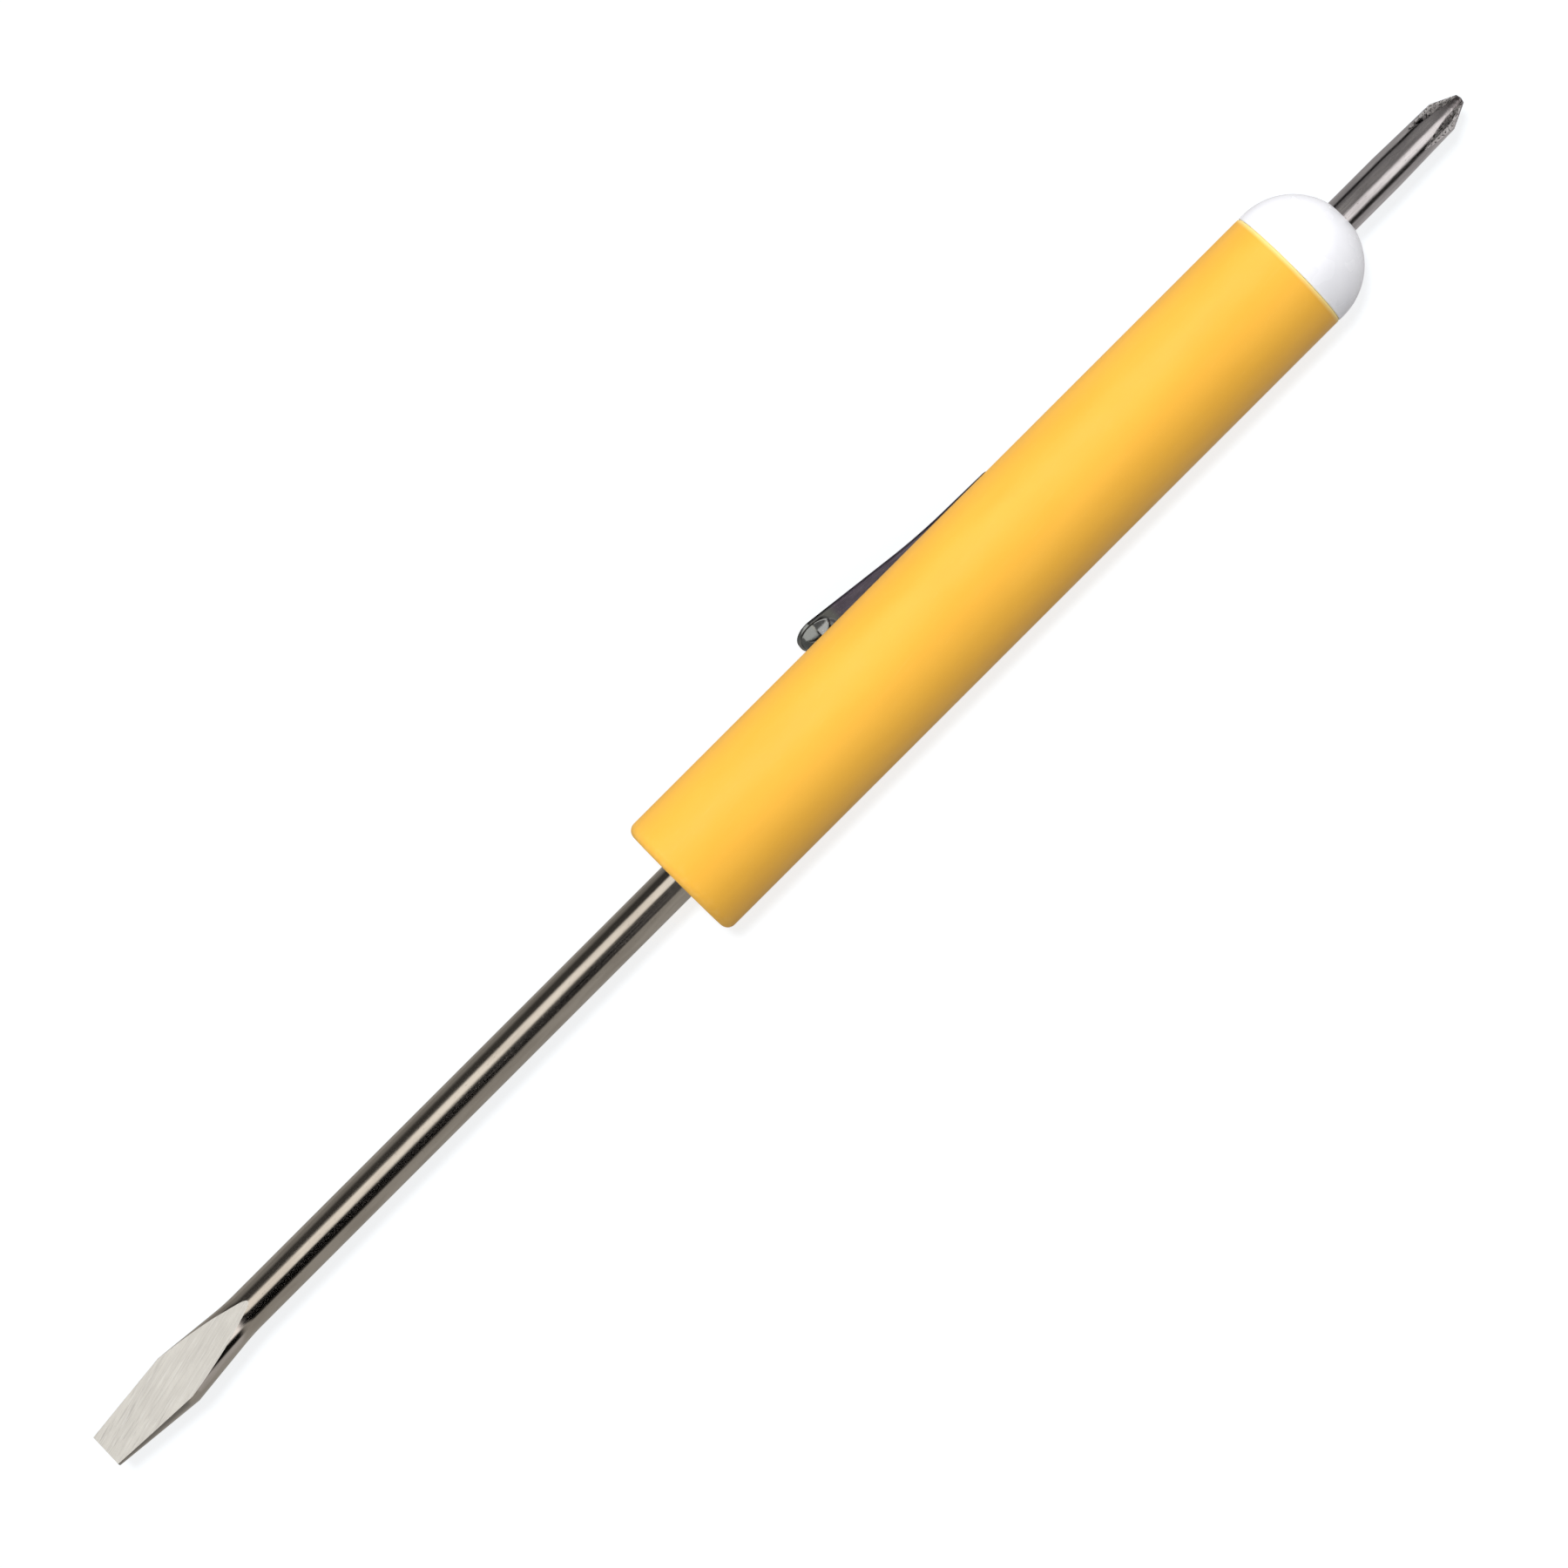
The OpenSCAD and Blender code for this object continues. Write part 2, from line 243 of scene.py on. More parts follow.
def lathe_tree():
    """Turns a row of outline points, given as place along X and radius, into a round form"""
    tree, given = new_tree("turned_form", {
        "Outline": "Geometry",
        "Steps Round": "Int",
        "Weld": "Float",
        "Finish": "Material",
    }, "Form")
    size = node(tree, "GeometryNodeAttributeDomainSize", {"Geometry": given["Outline"]})
    rows = size.outputs["Point Count"]
    # A grid of size 1 round its middle: X becomes the turn and Y the number of the outline's point
    grid = node(tree, "GeometryNodeMeshGrid", {
        "Size X": 1.0,
        "Size Y": 1.0,
        "Vertices X": sums(tree, "ADD", given["Steps Round"], 1.0),
        "Vertices Y": rows,
    })
    place = node(tree, "GeometryNodeInputPosition").outputs["Position"]
    spot = node(tree, "ShaderNodeSeparateXYZ", {"Vector": place}).outputs
    turn = sums(tree, "MULTIPLY", sums(tree, "ADD", spot["X"], 0.5), math.tau)
    row = sums(tree, "MULTIPLY", sums(tree, "ADD", spot["Y"], 0.5), sums(tree, "SUBTRACT", rows, 1.0))
    point = node(tree, "GeometryNodeSampleIndex", data_type="FLOAT_VECTOR", domain="POINT")
    tree.links.new(given["Outline"], point.inputs["Geometry"])
    tree.links.new(place, point.inputs["Value"])
    tree.links.new(sums(tree, "ROUND", row), point.inputs["Index"])
    drawn = node(tree, "ShaderNodeSeparateXYZ", {"Vector": point.outputs["Value"]}).outputs
    turned_place = node(tree, "ShaderNodeCombineXYZ", {
        "X": drawn["X"],
        "Y": sums(tree, "MULTIPLY", drawn["Y"], sums(tree, "COSINE", turn)),
        "Z": sums(tree, "MULTIPLY", drawn["Y"], sums(tree, "SINE", turn)),
    })
    form = node(tree, "GeometryNodeSetPosition", {
        "Geometry": grid.outputs["Mesh"],
        "Position": turned_place.outputs["Vector"],
    }).outputs[0]
    form = node(tree, "GeometryNodeMergeByDistance", {"Geometry": form, "Distance": given["Weld"]}).outputs[0]
    finish_tree(tree, form, given["Finish"], "Form")
    return tree


def flute_tree():
    """Cuts evenly spaced flutes along a round bit with a V-rimmed disc cutter"""
    tree, given = new_tree("cut_flutes", {
        "Blank": "Geometry",
        "Flutes": "Int",
        "First Turn": "Float",
        "Cutter Radius": "Float",
        "Rim Depth": "Float",
        "Rim Width": "Float",
        "Core Radius": "Float",
        "Bit End": "Float",
        "Steps Round": "Int",
        "Finish": "Material",
    }, "Bit")
    number = node(tree, "GeometryNodeInputIndex").outputs[0]
    step = sums(tree, "DIVIDE", math.tau, given["Flutes"])
    turn = sums(tree, "ADD", sums(tree, "MULTIPLY", number, step), given["First Turn"])
    cutters = node(tree, "GeometryNodeInstanceOnPoints", {
        "Points": node(tree, "GeometryNodePoints", {"Count": given["Flutes"]}).outputs[0],
        "Instance": disc_cutter(tree, given),
        "Rotation": node(tree, "ShaderNodeCombineXYZ", {"X": turn}).outputs[0],
    }).outputs[0]
    cutters = node(tree, "GeometryNodeRealizeInstances", {"Geometry": cutters}).outputs[0]
    cut = node(tree, "GeometryNodeMeshBoolean", operation="DIFFERENCE", solver="EXACT")
    cut.inputs["Self Intersection"].default_value = True
    tree.links.new(given["Blank"], cut.inputs["Mesh 1"])
    tree.links.new(cutters, cut.inputs["Mesh 2"])
    finish_tree(tree, cut.outputs["Mesh"], given["Finish"], "Bit")
    return tree


def disc_cutter(tree, given):
    """Two cones set base to base, beside the bit's end so that their rim leaves its core"""
    half = node(tree, "GeometryNodeMeshCone", {
        "Vertices": given["Steps Round"],
        "Radius Top": sums(tree, "SUBTRACT", given["Cutter Radius"], given["Rim Depth"]),
        "Radius Bottom": given["Cutter Radius"],
        "Depth": given["Rim Width"],
    }).outputs["Mesh"]
    turn_over = (math.pi, 0, 0)
    other = node(tree, "GeometryNodeTransform", {"Geometry": half, "Rotation": turn_over}).outputs[0]
    halves = node(tree, "GeometryNodeJoinGeometry")
    tree.links.new(half, halves.inputs[0])
    tree.links.new(other, halves.inputs[0])
    beside = node(tree, "ShaderNodeCombineXYZ", {
        "X": given["Bit End"],
        "Y": sums(tree, "ADD", given["Cutter Radius"], given["Core Radius"]),
    }).outputs[0]
    return node(tree, "GeometryNodeTransform", {
        "Geometry": halves.outputs[0],
        "Translation": beside,
    }).outputs[0]


def settle(piece):
    """Turns a piece's live modifiers into its plain mesh"""
    bpy.context.view_layer.update()
    graph = bpy.context.evaluated_depsgraph_get()
    plain = bpy.data.meshes.new_from_object(piece.evaluated_get(graph))
    piece.modifiers.clear()
    drawn = piece.data
    piece.data = plain
    bpy.data.meshes.remove(drawn)


def run_tree(piece, tree, sizes):
    """Runs a node tree with its named sizes on a piece"""
    modifier = piece.modifiers.new(tree.name, "NODES")
    modifier.node_group = tree
    for item in tree.interface.items_tree:
        if item.name in sizes:
            modifier[item.identifier] = sizes[item.name]
    settle(piece)


def new_piece(name, points, faces=()):
    mesh = bpy.data.meshes.new(name)
    mesh.from_pydata(points, [], faces)
    piece = bpy.data.objects.new(name, mesh)
    bpy.context.scene.collection.objects.link(piece)
    return piece


def turned(name, outline, finish):
    """Piece turned on the lathe from an outline of places along X and radii"""
    piece = new_piece(name, [(x, r, 0) for x, r in outline])
    run_tree(piece, LATHE, {"Steps Round": ROUND_STEPS, "Weld": WELD, "Finish": finish})
    give_finish(piece, finish)
    return piece


def give_finish(piece, finish):
    """Gives all faces of a piece one finish"""
    piece.data.materials.clear()
    piece.data.materials.append(finish)
    piece.data.polygons.foreach_set("material_index", [0] * len(piece.data.polygons))


def edit(piece, *works):
    """Opens a piece's mesh, does the works on it and closes it with its faces outwards"""
    mesh = bmesh.new()
    mesh.from_mesh(piece.data)
    for work in works:
        work(mesh)
    bmesh.ops.recalc_face_normals(mesh, faces=mesh.faces)
    mesh.to_mesh(piece.data)
    mesh.free()


def sharpen_borders(piece):
    """Keeps the edges between two finishes sharp"""
    mesh = bmesh.new()
    mesh.from_mesh(piece.data)
    for edge in mesh.edges:
        if len({f.material_index for f in edge.link_faces}) > 1:
            edge.smooth = False
    mesh.to_mesh(piece.data)
    mesh.free()


def complete(piece, body, cad_node):
    """Brings a drawn piece to metres, shades it and hands it to its body"""
    edit(piece)
    piece.data.transform(Matrix.Scale(MM, 4))
    piece.data.shade_smooth()
    piece.data.set_sharp_from_angle(angle=CREASE)
    sharpen_borders(piece)
    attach(piece, body)
    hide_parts(cad_node)


def arc(centre, radius, start, end, steps):
    """Points round part of a circle, in the plane of the place along X and the radius"""
    turns = [start + (end - start) * i / steps for i in range(steps + 1)]
    return [(centre[0] + radius * math.cos(a), centre[1] + radius * math.sin(a)) for a in turns]


def spaced(start, end, steps):
    """Points in a straight row, without its last point"""
    return [tuple(a + (b - a) * i / steps for a, b in zip(start, end)) for i in range(steps)]


# Finishes


def new_finish(name, constants):
    made = bpy.data.materials.new(name)
    made.use_nodes = True
    shader = made.node_tree.nodes["Principled BSDF"]
    for socket, value in constants.items():
        shader.inputs[socket].default_value = value
    return made, made.node_tree, shader


def grain(tree, size, detail=2.0, turn=(0, 0, 0), distortion=0.0):
    """Noise whose spots are about size millimetres long, wide and deep"""
    where = node(tree, "ShaderNodeTexCoord").outputs["Object"]
    laid = node(tree, "ShaderNodeMapping", {
        "Vector": where,
        "Rotation": turn,
        "Scale": [s * MM for s in size],
    }, vector_type="TEXTURE").outputs[0]
    noise = node(tree, "ShaderNodeTexNoise", {
        "Vector": laid,
        "Scale": 1.0,
        "Detail": detail,
        "Distortion": distortion,
    })
    return noise.outputs["Fac"]


def ease(tree, value, start, end, low=0.0, high=1.0):
    """Value that goes smoothly from low to high while the given one goes from start to end"""
    made = node(tree, "ShaderNodeMapRange", {0: value, 1: start, 2: end, 3: low, 4: high})
    made.interpolation_type = "SMOOTHSTEP"
    return made.outputs[0]


def blend(tree, share, first, second):
    """Colour between two colours"""
    made = node(tree, "ShaderNodeMix", {0: share, 6: first, 7: second}, data_type="RGBA")
    return made.outputs[2]


def clouded(tree, cloud, first, second):
    """Colour that drifts between two colours with the clouding"""
    return blend(tree, ease(tree, cloud, *GRAIN_SPAN), first, second)


def along(tree):
    """Place along the tool, in metres"""
    where = node(tree, "ShaderNodeTexCoord").outputs["Object"]
    return node(tree, "ShaderNodeSeparateXYZ", {"Vector": where}).outputs["X"]


def near_place(tree, x, reach):
    """1 at a place along the tool, in millimetres, and 0 past its reach"""
    distance = sums(tree, "ABSOLUTE", sums(tree, "SUBTRACT", along(tree), x * MM))
    return ease(tree, distance, 0.0, reach * MM, 1.0, 0.0)


def paint(tree, shader, colour, rough):
    """Gives a finish its colour and its roughness"""
    tree.links.new(colour, shader.inputs["Base Color"])
    tree.links.new(rough, shader.inputs["Roughness"])


def relief(tree, shader, heights):
    """Bump from several heights, each with its depth in millimetres"""
    normal = None
    for height, depth in heights:
        bump = node(tree, "ShaderNodeBump", {"Height": height, "Distance": depth * MM})
        if normal is not None:
            tree.links.new(normal, bump.inputs["Normal"])
        normal = bump.outputs["Normal"]
    tree.links.new(normal, shader.inputs["Normal"])


def barrel_finish():
    """Satin yellow moulded plastic with faint clouding, fine scuffs, rubbed ends that also carry a painted
    highlight along their edges, and a painted highlight line along the rim
    """
    made, tree, shader = new_finish("satin_yellow_plastic", {"IOR": 1.49})
    cloud = grain(tree, (14, 4, 4), 3)
    colour = clouded(tree, cloud, YELLOW, YELLOW_DEEP)
    scuff = ease(tree, grain(tree, (5, 0.06, 0.06), 3, (0, 0, 0.12), 0.4), 0.62, 0.74)
    # Light patches at both ends of the barrel: rubbed wear, and also a painted highlight along the edges of
    # the ends
    rub_and_edge_highlight = sums(tree, "ADD", near_place(tree, BLADE_REACH, 1.4), near_place(tree, BARREL_END, 0.5))
    rub_and_edge_highlight = sums(tree, "MULTIPLY", rub_and_edge_highlight, ease(tree, grain(tree, (0.5, 0.5, 0.5), 3), 0.35, 0.75))
    # Scuffs, rubbed wear and the painted highlight at the ends, together
    worn = sums(tree, "MAXIMUM", sums(tree, "MULTIPLY", scuff, 0.25), sums(tree, "MULTIPLY", rub_and_edge_highlight, 0.5))
    colour = blend(tree, worn, colour, YELLOW_WEAR_AND_HIGHLIGHT)
    # Painted highlight: a light yellow line along the rim, where its bevel would catch the light
    rim = near_place(tree, BARREL_END, 0.45)
    rim_highlight = sums(tree, "MULTIPLY", rim, ease(tree, cloud, 0.2, 0.5, 0.6, 1.0))
    colour = blend(tree, rim_highlight, colour, YELLOW_RIM_HIGHLIGHT)
    rough = ease(tree, grain(tree, (3, 1.2, 1.2), 3), *GRAIN_SPAN, 0.38, 0.5)
    paint(tree, shader, colour, sums(tree, "ADD", rough, sums(tree, "MULTIPLY", worn, 0.15)))
    relief(tree, shader, [
        (grain(tree, (6, 2.2, 2.2), 2), 0.03),
        (grain(tree, (0.3, 0.3, 0.3), 2), 0.0025),
        (scuff, 0.0015),
    ])
    return made


def cap_finish():
    """Glossy white moulded plastic, slightly uneven, with a few hairline scuffs"""
    made, tree, shader = new_finish("glossy_white_plastic", {"IOR": 1.5})
    colour = clouded(tree, grain(tree, (3, 3, 3), 3), CAP_WHITE, CAP_GREY)
    scuff = ease(tree, grain(tree, (0.07, 3, 0.07), 3, (0.5, 0.3, 0.2), 0.5), 0.68, 0.8)
    rough = ease(tree, grain(tree, (2, 2, 2), 1), *GRAIN_SPAN, 0.24, 0.28)
    paint(tree, shader, colour, sums(tree, "ADD", rough, sums(tree, "MULTIPLY", scuff, 0.06)))
    relief(tree, shader, [(grain(tree, (3.5, 3.5, 3.5), 0), 0.006), (scuff, 0.0001)])
    return made


def plated_finish(name, bright, dull, gloss, line_depth, wave_depth, speck_share, worn_tip=None):
    """Plated steel rod with drawing lines along it, soft clouding, dark specks and perhaps a worn tip"""
    made, tree, shader = new_finish(name, {"Metallic": 1.0})
    lines = grain(tree, (16, 0.05, 0.05), 4)
    cloud = grain(tree, (4, 0.7, 0.7), 3)
    speck = ease(tree, grain(tree, (0.16, 0.08, 0.08), 2), 0.68, 0.76, 0.0, speck_share)
    colour = clouded(tree, cloud, bright, dull)
    colour = blend(tree, ease(tree, lines, 0.55, 0.8, 0.0, 0.35), colour, dull)
    colour = blend(tree, speck, colour, PLATING_SPECK)
    rough = ease(tree, lines, 0.3, 0.75, gloss, gloss * 1.9)
    if worn_tip is not None:
        end, reach = worn_tip
        patch = ease(tree, grain(tree, (0.3, 0.16, 0.16), 3), 0.36, 0.6, 0.35, 1.0)
        worn = sums(tree, "MULTIPLY", near_place(tree, end, reach), patch)
        colour = blend(tree, worn, colour, PLATING_WORN)
        rough = sums(tree, "ADD", rough, sums(tree, "MULTIPLY", worn, 0.25))
    paint(tree, shader, colour, sums(tree, "ADD", rough, sums(tree, "MULTIPLY", speck, 0.2)))
    relief(tree, shader, [(lines, line_depth), (cloud, wave_depth), (speck, 0.0015)])
    return made


def ground_finish():
    """Bare steel where the blade was ground, with slanting scratches left by the wheel"""
    made, tree, shader = new_finish("ground_steel", {"Metallic": 1.0})
    slant = Matrix.Rotation(-BLADE_TURN, 3, "X") @ Matrix.Rotation(SCRATCH_TURN, 3, "Z")
    turn = slant.to_euler("XYZ")
    fine = grain(tree, (3.2, 0.05, 2), 4, turn, 0.2)
    deep = ease(tree, grain(tree, (2.4, 0.1, 2), 3, turn, 0.3), 0.55, 0.66)
    glint = ease(tree, grain(tree, (2.0, 0.07, 1.6), 3, turn, 0.3), 0.57, 0.68)
    cloud = grain(tree, (1.8, 0.8, 2), 3, turn)
    # The wheel left its deepest scratches near the blade's end
    share = ease(tree, along(tree), 0.0, 9 * MM, 0.42, 0.1)
    colour = clouded(tree, cloud, GROUND_PALE, GROUND_GREY)
    colour = blend(tree, ease(tree, fine, 0.4, 0.75, 0.0, 0.35), colour, GROUND_LINE)
    colour = blend(tree, sums(tree, "MULTIPLY", deep, share), colour, GROUND_SCRATCH)
    colour = blend(tree, sums(tree, "MULTIPLY", glint, 0.5), colour, GROUND_GLINT)
    paint(tree, shader, colour, ease(tree, fine, *GRAIN_SPAN, 0.3, 0.42))
    relief(tree, shader, [(fine, 0.002), (deep, -0.002)])
    return made


def flute_finish():
    """Rough cut and plated steel in the flutes, pitted and dark in places"""
    made, tree, shader = new_finish("fluted_steel", {"Metallic": 1.0})
    pit = ease(tree, grain(tree, (0.17, 0.13, 0.13), 3), 0.52, 0.6)
    cloud = grain(tree, (0.6, 0.4, 0.4), 3)
    colour = clouded(tree, cloud, FLUTE_PALE, FLUTE_GREY)
    colour = blend(tree, sums(tree, "MULTIPLY", pit, 0.85), colour, FLUTE_PIT)
    paint(tree, shader, colour, ease(tree, cloud, *GRAIN_SPAN, 0.45, 0.65))
    relief(tree, shader, [(cloud, 0.05), (pit, -0.02)])
    return made


def clip_finish():
    """Rolled spring steel strip, dark and slightly violet, with fine rolling lines and a shiny ball"""
    made, tree, shader = new_finish("spring_steel", {"Metallic": 1.0})
    lines = grain(tree, (9, 0.06, 0.06), 4)
    cloud = grain(tree, (1.5, 0.7, 0.7), 3)
    ball = ease(tree, near_place(tree, BALL_X, 2.6), 0.0, 0.3)
    colour = clouded(tree, cloud, STRIP_LIGHT, STRIP_DARK)
    colour = blend(tree, ball, colour, BALL_GREY)
    speck = ease(tree, grain(tree, (0.1, 0.1, 0.1), 2), 0.66, 0.74, 0.0, 0.6)
    colour = blend(tree, speck, colour, STRIP_SPECK)
    rough = ease(tree, lines, *GRAIN_SPAN, 0.2, 0.34)
    paint(tree, shader, colour, sums(tree, "SUBTRACT", rough, sums(tree, "MULTIPLY", ball, 0.12)))
    relief(tree, shader, [(lines, 0.002), (cloud, 0.004)])
    return made


# Pieces


def make_barrel():
    """Moulded tube with a rounded blade end, a hollow middle and the slot for the clip's tang"""
    bore_r = SHANK_R + SEAT_GAP
    nose_at = (BLADE_REACH + NOSE_ROUND, BARREL_R - NOSE_ROUND)
    outline = [(SHANK_END + SEAT_GAP, 0), (SHANK_END + SEAT_GAP, bore_r)]
    outline += [(BLADE_REACH + BORE_BEVEL, bore_r), (BLADE_REACH, bore_r + BORE_BEVEL)]
    outline += arc(nose_at, NOSE_ROUND, math.pi, math.pi / 2, NOSE_STEPS)
    outline += [(x, BARREL_R) for x in BARREL_RINGS]
    outline += [(BARREL_END - RIM_BEVEL, BARREL_R), (BARREL_END, BARREL_R - RIM_BEVEL)]
    outline += [(BARREL_END, PLUG_BORE_R), (PLUG_BORE_START, PLUG_BORE_R), (PLUG_BORE_START, CORE_R)]
    outline += [(CORE_START, CORE_R), (CORE_START, 0)]
    plastic = barrel_finish()
    barrel = turned("barrel", outline, plastic)
    cut_slot(barrel)
    give_finish(barrel, plastic)
    # Polished metal beside the barrel shows the studio
    barrel.visible_glossy = False
    complete(barrel, "handle", "handle_barrel")


def cut_slot(barrel):
    """Opens the slot through the barrel's wall, as wide as the clip's tang and its gap"""
    corners = [
        Vector((x, 0, 0)) + r * CLIP_OUT + w * SLOT_W / 2 * CLIP_ACROSS
        for x in (SLOT_LOW, SLOT_HIGH)
        for r in (SLOT_INNER_R, SLOT_OUTER_R)
        for w in (-1, 1)
    ]
    sides = [(0, 1, 3, 2), (4, 6, 7, 5), (0, 4, 5, 1), (2, 3, 7, 6), (0, 2, 6, 4), (1, 5, 7, 3)]
    cutter = new_piece("slot_cutter", corners, sides)
    edit(cutter)
    modifier = barrel.modifiers.new("slot", "BOOLEAN")
    modifier.operation = "DIFFERENCE"
    modifier.solver = "EXACT"
    modifier.object = cutter
    settle(barrel)
    bpy.data.objects.remove(cutter)


def make_blade():
    """Round rod, flared near its end and ground on two sides to a flat blade"""
    flare = (FLARE_AT, FLARE_R)
    slope = math.atan((FLARE_R - SHANK_R) / FLARE_RUN)
    blend_x = FLARE_AT + FLARE_RUN + FLARE_BLEND_R * math.tan(slope / 2)
    blend_at = (blend_x, SHANK_R + FLARE_BLEND_R)
    blend_start = (blend_x - FLARE_BLEND_R * math.sin(slope),
                   SHANK_R + FLARE_BLEND_R * (1 - math.cos(slope)))
    bevel_start = (SHANK_END - SHANK_END_BEVEL, SHANK_R)
    outline = [(0, 0)] + spaced((0, TIP_R), flare, TIP_STEPS)
    outline += spaced(flare, blend_start, FLARE_STEPS)
    outline += arc(blend_at, FLARE_BLEND_R, -math.pi / 2 - slope, -math.pi / 2, BLEND_STEPS)
    outline += spaced((blend_x + SHANK_FIRST_RING, SHANK_R), bevel_start, SHANK_STEPS)
    outline += [bevel_start, (SHANK_END, SHANK_R - SHANK_END_BEVEL), (SHANK_END, 0)]
    plating = plated_finish("plated_blade_steel", BLADE_BRIGHT, BLADE_DULL, gloss=0.07, line_depth=0.0008,
                            wave_depth=0.0015, speck_share=0.5)
    blade = turned("blade", outline, plating)
    blade.data.materials.append(ground_finish())
    edit(blade, grind)
    complete(blade, "handle", "flat_blade")


def grind(mesh):
    """Takes the two flats off the blade's blank and gives them the second finish"""
    slope = math.atan((SHANK_R - TIP_T / 2) / GRIND_LEN)
    for side in (0, math.pi):
        turn = Matrix.Rotation(side - BLADE_TURN, 3, "X")
        outward = turn @ Vector((-math.sin(slope), 0, math.cos(slope)))
        start = turn @ Vector((0, 0, TIP_T / 2))
        parts = mesh.verts[:] + mesh.edges[:] + mesh.faces[:]
        done = bmesh.ops.bisect_plane(mesh, geom=parts, dist=WELD, plane_co=start, plane_no=outward,
                                      clear_outer=True)
        rim = [e for e in done["geom_cut"] if isinstance(e, bmesh.types.BMEdge)]
        flat = bmesh.ops.holes_fill(mesh, edges=rim, sides=0)["faces"]
        for face in flat:
            face.material_index = 1


def make_cap():
    """Dome with a plug that goes into the barrel, and the bore that holds the bit"""
    bore_r = BIT_R + SEAT_GAP
    mouth = math.asin(bore_r / BARREL_R)
    outline = [(PLUG_START, 0), (PLUG_START, PLUG_R - PLUG_BEVEL), (PLUG_START + PLUG_BEVEL, PLUG_R)]
    outline += [(BARREL_END, PLUG_R), (BARREL_END, BARREL_R - CAP_EDGE), (BARREL_END + CAP_EDGE, BARREL_R)]
    outline += arc((DOME_X, 0), BARREL_R, math.pi / 2, mouth, DOME_STEPS)
    outline += [(BIT_START - SEAT_GAP, bore_r), (BIT_START - SEAT_GAP, 0)]
    cap = turned("cap", outline, cap_finish())
    complete(cap, "handle", "end_cap")


def make_bit():
    """Short round bit whose point is cut to a cross by four flutes"""
    outline = [(BIT_START, 0), (BIT_START, BIT_R)]
    outline += spaced(TAPER, NECK, TAPER_STEPS) + spaced(NECK, CROWN, POINT_STEPS)
    outline += [CROWN, (BIT_END, 0)]
    plating = plated_finish("plated_bit_steel", BIT_BRIGHT, BIT_DULL, gloss=0.12, line_depth=0.003,
                            wave_depth=0.012, speck_share=0.75, worn_tip=(BIT_END, BIT_WEAR))
    bit = turned("bit", outline, plating)
    run_tree(bit, flute_tree(), {
        "Flutes": FLUTE_COUNT,
        "First Turn": math.pi / FLUTE_COUNT - BIT_TURN,
        "Cutter Radius": FLUTE_R,
        "Rim Depth": 2 * BIT_R,
        "Rim Width": 2 * BIT_R * math.tan(FLUTE_ANGLE / 2),
        "Core Radius": FLUTE_CORE,
        "Bit End": BIT_END,
        "Steps Round": ROUND_STEPS,
        "Finish": plating,
    })
    give_finish(bit, plating)
    bit.data.materials.append(flute_finish())
    edit(bit, mark_flutes)
    complete(bit, "handle", "cross_bit")


def mark_flutes(mesh):
    """Gives the faces that lie inside the bit's turned outline the finish of the flutes"""
    corners = [TAPER, NECK, CROWN, (BIT_END, 0)]
    for face in mesh.faces:
        x, y, z = face.calc_center_median()
        for (x0, r0), (x1, r1) in zip(corners, corners[1:]):
            if x0 <= x <= x1:
                skin = r0 + (r1 - r0) * (x - x0) / (x1 - x0)
                if math.hypot(y, z) < skin - FLUTE_DEPTH:
                    face.material_index = 1


def clip_line():
    """Middle line of the strip from its foot to the end of its lifting bend: places along X and radii"""
    middle = CLIP_T / 2
    bend = TANG_BEND_R + middle
    foot_r = FOOT_R - middle
    tang_x = TANG_X - middle
    flat_r = BARREL_R + CLIP_GAP + middle
    flat_end = TANG_X - CLIP_FLAT
    lift_r = flat_r + CLIP_BEND_R + middle
    foot_x = TANG_X + TANG_BEND_R
    bend_x = TANG_X - CLIP_T - TANG_BEND_R
    down = -math.pi / 2
    line = spaced((TANG_X + FOOT_LEN, foot_r), (foot_x, foot_r), FOOT_STEPS)
    line += arc((foot_x, foot_r + bend), bend, down, -math.pi, BEND_STEPS)
    line += spaced((tang_x, foot_r + bend), (tang_x, flat_r - bend), TANG_STEPS)[1:]
    line += arc((bend_x, flat_r - bend), bend, 0, math.pi / 2, BEND_STEPS)
    line += spaced((bend_x, flat_r), (flat_end, flat_r), FOOT_STEPS)[1:]
    line += arc((flat_end, lift_r), CLIP_BEND_R + middle, down, down - CLIP_LIFT, LIFT_STEPS)
    return line


def arm_places(ball_at):
    """Distances along the strip's straight arm, closer together at the ball and the round end"""
    end_r = CLIP_END_W / 2
    near_ball = ball_at - end_r
    places = [near_ball * i / ARM_STEPS for i in range(1, ARM_STEPS)]
    places += [near_ball + end_r * i / BALL_STEPS for i in range(BALL_STEPS)]
    places += [ball_at + end_r * math.sin(math.pi / 2 * i / END_STEPS) for i in range(END_STEPS + 1)]
    return places


def make_clip():
    """Sprung strip with a bent tang at its root and a pressed ball at its round free end"""
    line = clip_line()
    arm_x, arm_r = line[-1]
    run = Vector((-math.cos(CLIP_LIFT), math.sin(CLIP_LIFT)))
    ball_at = (arm_x - BALL_X) / math.cos(CLIP_LIFT)
    line += [(arm_x + run.x * a, arm_r + run.y * a) for a in arm_places(ball_at)]
    ball_lift = (BARREL_R + BALL_GAP + BALL_R - arm_r - run.y * ball_at) * math.cos(CLIP_LIFT)
    clip = new_piece("clip", strip_points(line, ball_lift), strip_faces(len(line)))
    clip.data.materials.append(clip_finish())
    edit(clip, weld)
    thicken(clip)
    complete(clip, "clip", "pocket_clip")


